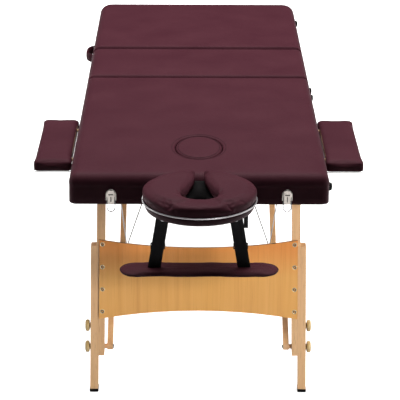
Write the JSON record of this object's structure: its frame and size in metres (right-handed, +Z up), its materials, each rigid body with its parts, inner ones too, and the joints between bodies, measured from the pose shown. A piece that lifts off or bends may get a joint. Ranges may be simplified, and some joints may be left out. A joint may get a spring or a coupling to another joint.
{
  "type": "portable massage table",
  "caption": "Folding wooden massage table with padded sections, a face cradle, a hanging arm shelf, side armrests and folding leg frames.",
  "frame": {"origin": "centre of the bounding box at floor level", "axes": "+Z up, +Y along the table from the face cradle to the far end, +X to the right"},
  "size_m": [0.932, 2.195, 0.752],
  "materials": {
    "vinyl": "satin",
    "wood": "satin",
    "plywood": "gloss",
    "knob": "satin",
    "rubber": "matte",
    "black_plastic": "matte",
    "webbing": "matte",
    "steel": "polished"
  },
  "bodies": {
    "head_half": {"head_frame": "wood", "head_pad": "vinyl", "head_skirt": "vinyl", "hinge_leaf_head": "steel", "head_cable_left": "steel", "head_cable_right": "steel"},
    "face_plug": {"face_plug": "vinyl"},
    "fold_pin": {"hinge_pin": "steel"},
    "foot_half": {"foot_frame": "wood", "seat_pad": "vinyl", "foot_skirt": "vinyl", "hinge_leaf_foot": "steel", "foot_cable_left": "steel", "foot_cable_right": "steel"},
    "back_section": {"back_pad": "vinyl"},
    "back_prop": {"back_prop": "wood"},
    "head_legs": {"head_leg_left": "wood", "head_leg_right": "wood", "head_panel": "plywood"},
    "head_braces_lower": {"head_brace_lower_left": "wood", "head_brace_lower_right": "wood"},
    "head_braces_upper": {"head_brace_upper_left": "wood", "head_brace_upper_right": "wood"},
    "head_extension_left": {"head_extension_left": "wood", "head_foot_left": "rubber"},
    "head_knob_upper_left": {"head_knob_upper_left": "knob"},
    "head_knob_lower_left": {"head_knob_lower_left": "knob"},
    "head_extension_right": {"head_extension_right": "wood", "head_foot_right": "rubber"},
    "head_knob_upper_right": {"head_knob_upper_right": "knob"},
    "head_knob_lower_right": {"head_knob_lower_right": "knob"},
    "foot_legs": {"foot_leg_left": "wood", "foot_leg_right": "wood", "foot_panel": "plywood"},
    "foot_braces_lower": {"foot_brace_lower_left": "wood", "foot_brace_lower_right": "wood"},
    "foot_braces_upper": {"foot_brace_upper_left": "wood", "foot_brace_upper_right": "wood"},
    "foot_extension_left": {"foot_extension_left": "wood", "foot_foot_left": "rubber"},
    "foot_knob_upper_left": {"foot_knob_upper_left": "knob"},
    "foot_knob_lower_left": {"foot_knob_lower_left": "knob"},
    "foot_extension_right": {"foot_extension_right": "wood", "foot_foot_right": "rubber"},
    "foot_knob_upper_right": {"foot_knob_upper_right": "knob"},
    "foot_knob_lower_right": {"foot_knob_lower_right": "knob"},
    "cradle_frame": {"cradle_frame": "steel"},
    "cradle_head": {"cradle_platform": "black_plastic", "cradle_cushion": "vinyl"},
    "cradle_lever": {"cradle_lever": "black_plastic"},
    "arm_shelf": {"arm_shelf": "vinyl", "shelf_strap": "webbing"},
    "armrest_left": {"armrest_pad_left": "vinyl", "armrest_board_left": "wood"},
    "armrest_right": {"armrest_pad_right": "vinyl", "armrest_board_right": "wood"},
    "latch_lever_left": {"latch_lever_left": "steel"},
    "latch_bail_left": {"latch_bail_left": "steel"},
    "latch_lever_right": {"latch_lever_right": "steel"},
    "latch_bail_right": {"latch_bail_right": "steel"}
  },
  "joints": [
    {"name": "face_plug_lift", "type": "slide", "parent": "head_half", "child": "face_plug", "axis": [0, 0, 1], "range_m": [0, 0.08]},
    {"name": "case_fold_first", "type": "hinge", "parent": "fold_pin", "child": "head_half", "pos_m": [0, 0.1675, 0.6265], "axis": [1, 0, 0], "range_deg": [0, 90]},
    {"name": "case_fold_second", "type": "hinge", "parent": "fold_pin", "child": "foot_half", "pos_m": [0, 0.1675, 0.6265], "axis": [-1, 0, 0], "range_deg": [0, 90]},
    {"name": "back_lift", "type": "hinge", "parent": "foot_half", "child": "back_section", "pos_m": [0, 0.4975, 0.678], "axis": [1, 0, 0], "range_deg": [0, 40]},
    {"name": "back_prop_swing", "type": "hinge", "parent": "back_section", "child": "back_prop", "pos_m": [0, 0.7815, 0.652], "axis": [-1, 0, 0], "range_deg": [0, 80]},
    {"name": "head_leg_fold", "type": "hinge", "parent": "head_half", "child": "head_legs", "pos_m": [0, -0.6125, 0.65], "axis": [1, 0, 0], "range_deg": [0, 90], "deforming": ["head_cable_left", "head_cable_right"]},
    {"name": "head_brace_lower_turn", "type": "hinge", "parent": "head_legs", "child": "head_braces_lower", "pos_m": [0, -0.6065, 0.135], "axis": [1, 0, 0], "range_deg": [0, 54.27]},
    {"name": "head_brace_upper_turn", "type": "hinge", "parent": "head_half", "child": "head_braces_upper", "pos_m": [0, 0.1175, 0.656], "axis": [-1, 0, 0], "range_deg": [0, 35.75]},
    {"name": "head_leg_height_left", "type": "slide", "parent": "head_legs", "child": "head_extension_left", "axis": [0.0209, 0, 0.9998], "range_m": [-0.13, 0]},
    {"name": "head_knob_upper_left_turn", "type": "hinge", "parent": "head_legs", "child": "head_knob_upper_left", "pos_m": [0, -0.6125, 0.203], "axis": [-1, 0, 0], "continuous": true},
    {"name": "head_knob_lower_left_turn", "type": "hinge", "parent": "head_legs", "child": "head_knob_lower_left", "pos_m": [0, -0.6125, 0.137], "axis": [-1, 0, 0], "continuous": true},
    {"name": "head_leg_height_right", "type": "slide", "parent": "head_legs", "child": "head_extension_right", "axis": [-0.0209, 0, 0.9998], "range_m": [-0.13, 0]},
    {"name": "head_knob_upper_right_turn", "type": "hinge", "parent": "head_legs", "child": "head_knob_upper_right", "pos_m": [0, -0.6125, 0.203], "axis": [1, 0, 0], "continuous": true},
    {"name": "head_knob_lower_right_turn", "type": "hinge", "parent": "head_legs", "child": "head_knob_lower_right", "pos_m": [0, -0.6125, 0.137], "axis": [1, 0, 0], "continuous": true},
    {"name": "foot_leg_fold", "type": "hinge", "parent": "foot_half", "child": "foot_legs", "pos_m": [0, 0.9475, 0.65], "axis": [-1, 0, 0], "range_deg": [0, 90], "deforming": ["foot_cable_left", "foot_cable_right"]},
    {"name": "foot_brace_lower_turn", "type": "hinge", "parent": "foot_legs", "child": "foot_braces_lower", "pos_m": [0, 0.9415, 0.135], "axis": [-1, 0, 0], "range_deg": [0, 54.27]},
    {"name": "foot_brace_upper_turn", "type": "hinge", "parent": "foot_half", "child": "foot_braces_upper", "pos_m": [0, 0.2175, 0.656], "axis": [1, 0, 0], "range_deg": [0, 35.75]},
    {"name": "foot_leg_height_left", "type": "slide", "parent": "foot_legs", "child": "foot_extension_left", "axis": [0.0209, 0, 0.9998], "range_m": [-0.13, 0]},
    {"name": "foot_knob_upper_left_turn", "type": "hinge", "parent": "foot_legs", "child": "foot_knob_upper_left", "pos_m": [0, 0.9475, 0.203], "axis": [-1, 0, 0], "continuous": true},
    {"name": "foot_knob_lower_left_turn", "type": "hinge", "parent": "foot_legs", "child": "foot_knob_lower_left", "pos_m": [0, 0.9475, 0.137], "axis": [-1, 0, 0], "continuous": true},
    {"name": "foot_leg_height_right", "type": "slide", "parent": "foot_legs", "child": "foot_extension_right", "axis": [-0.0209, 0, 0.9998], "range_m": [-0.13, 0]},
    {"name": "foot_knob_upper_right_turn", "type": "hinge", "parent": "foot_legs", "child": "foot_knob_upper_right", "pos_m": [0, 0.9475, 0.203], "axis": [1, 0, 0], "continuous": true},
    {"name": "foot_knob_lower_right_turn", "type": "hinge", "parent": "foot_legs", "child": "foot_knob_lower_right", "pos_m": [0, 0.9475, 0.137], "axis": [1, 0, 0], "continuous": true},
    {"name": "cradle_slide", "type": "slide", "parent": "head_half", "child": "cradle_frame", "axis": [0, -1, 0], "range_m": [0, 0.06]},
    {"name": "cradle_tilt", "type": "hinge", "parent": "cradle_frame", "child": "cradle_head", "pos_m": [0, -0.8225, 0.67], "axis": [1, 0, 0], "range_deg": [-30, 12]},
    {"name": "cradle_lever_throw", "type": "hinge", "parent": "cradle_frame", "child": "cradle_lever", "pos_m": [0, -0.8225, 0.65], "axis": [-1, 0, 0], "range_deg": [0, 90]},
    {"name": "arm_shelf_swing", "type": "hinge", "parent": "cradle_frame", "child": "arm_shelf", "pos_m": [0, -0.9125, 0.65], "axis": [1, 0, 0], "range_deg": [-30, 30]},
    {"name": "armrest_pull_left", "type": "slide", "parent": "head_half", "child": "armrest_left", "axis": [-1, 0, 0], "range_m": [0, 0.06]},
    {"name": "armrest_pull_right", "type": "slide", "parent": "head_half", "child": "armrest_right", "axis": [1, 0, 0], "range_m": [0, 0.06]},
    {"name": "latch_throw_left", "type": "hinge", "parent": "head_half", "child": "latch_lever_left", "pos_m": [0, -0.7675, 0.634], "axis": [1, 0, 0], "range_deg": [0, 150]},
    {"name": "latch_bail_left_hang", "type": "hinge", "parent": "latch_lever_left", "child": "latch_bail_left", "pos_m": [0, -0.771, 0.649], "axis": [-1, 0, 0], "range_deg": [0, 150]},
    {"name": "latch_throw_right", "type": "hinge", "parent": "head_half", "child": "latch_lever_right", "pos_m": [0, -0.7675, 0.634], "axis": [1, 0, 0], "range_deg": [0, 150]},
    {"name": "latch_bail_right_hang", "type": "hinge", "parent": "latch_lever_right", "child": "latch_bail_right", "pos_m": [0, -0.771, 0.649], "axis": [-1, 0, 0], "range_deg": [0, 150]}
  ],
  "couplings": [
    {"joint": "back_prop_swing", "follows": "back_lift", "ratio": 2},
    {"joint": "head_leg_fold", "follows": "case_fold_first", "ratio": 1},
    {"joint": "head_brace_lower_turn", "follows": "case_fold_first", "ratio": 0.6029},
    {"joint": "head_brace_upper_turn", "follows": "case_fold_first", "ratio": 0.3971},
    {"joint": "foot_leg_fold", "follows": "case_fold_first", "ratio": 1},
    {"joint": "foot_brace_lower_turn", "follows": "case_fold_first", "ratio": 0.6029},
    {"joint": "foot_brace_upper_turn", "follows": "case_fold_first", "ratio": 0.3971},
    {"joint": "latch_bail_left_hang", "follows": "latch_throw_left", "ratio": 1},
    {"joint": "latch_bail_right_hang", "follows": "latch_throw_right", "ratio": 1}
  ]
}
